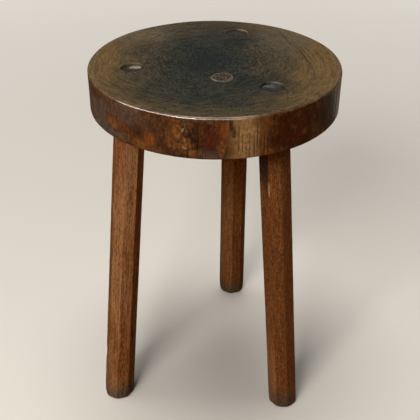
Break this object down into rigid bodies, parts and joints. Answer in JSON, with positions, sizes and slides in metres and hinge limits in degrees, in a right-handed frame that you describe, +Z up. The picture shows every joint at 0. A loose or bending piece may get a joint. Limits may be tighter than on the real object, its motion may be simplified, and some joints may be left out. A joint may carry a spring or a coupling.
{
  "type": "three-legged stool",
  "caption": "Low wooden stool: a thick round seat to sit on, carried on splayed octagonal legs whose round tenons are wedged through it.",
  "frame": {"origin": "on the floor, under the middle of the box that holds the whole stool; the seat's upright axis stands 1.2 mm to +X and 11.1 mm to -Y of it, because the legs are set by hand", "axes": "+Z up out of the seat's top; +X to the right and +Y to the back as seen in the picture"},
  "size_m": [0.2824, 0.3022, 0.43],
  "materials": {
    "seat_wood": "old dark wax, worn",
    "leg_wood": "dark stain and wax",
    "wedge_wood": "worn end grain",
    "plug_wood": "worn end grain"
  },
  "bodies": {
    "root": {"seat": "seat_wood", "left_leg": "leg_wood", "right_leg": "leg_wood", "rear_leg": "leg_wood", "left_wedge": "wedge_wood", "right_wedge": "wedge_wood", "rear_wedge": "wedge_wood", "seat_plug": "plug_wood"}
  },
  "joints": []
}
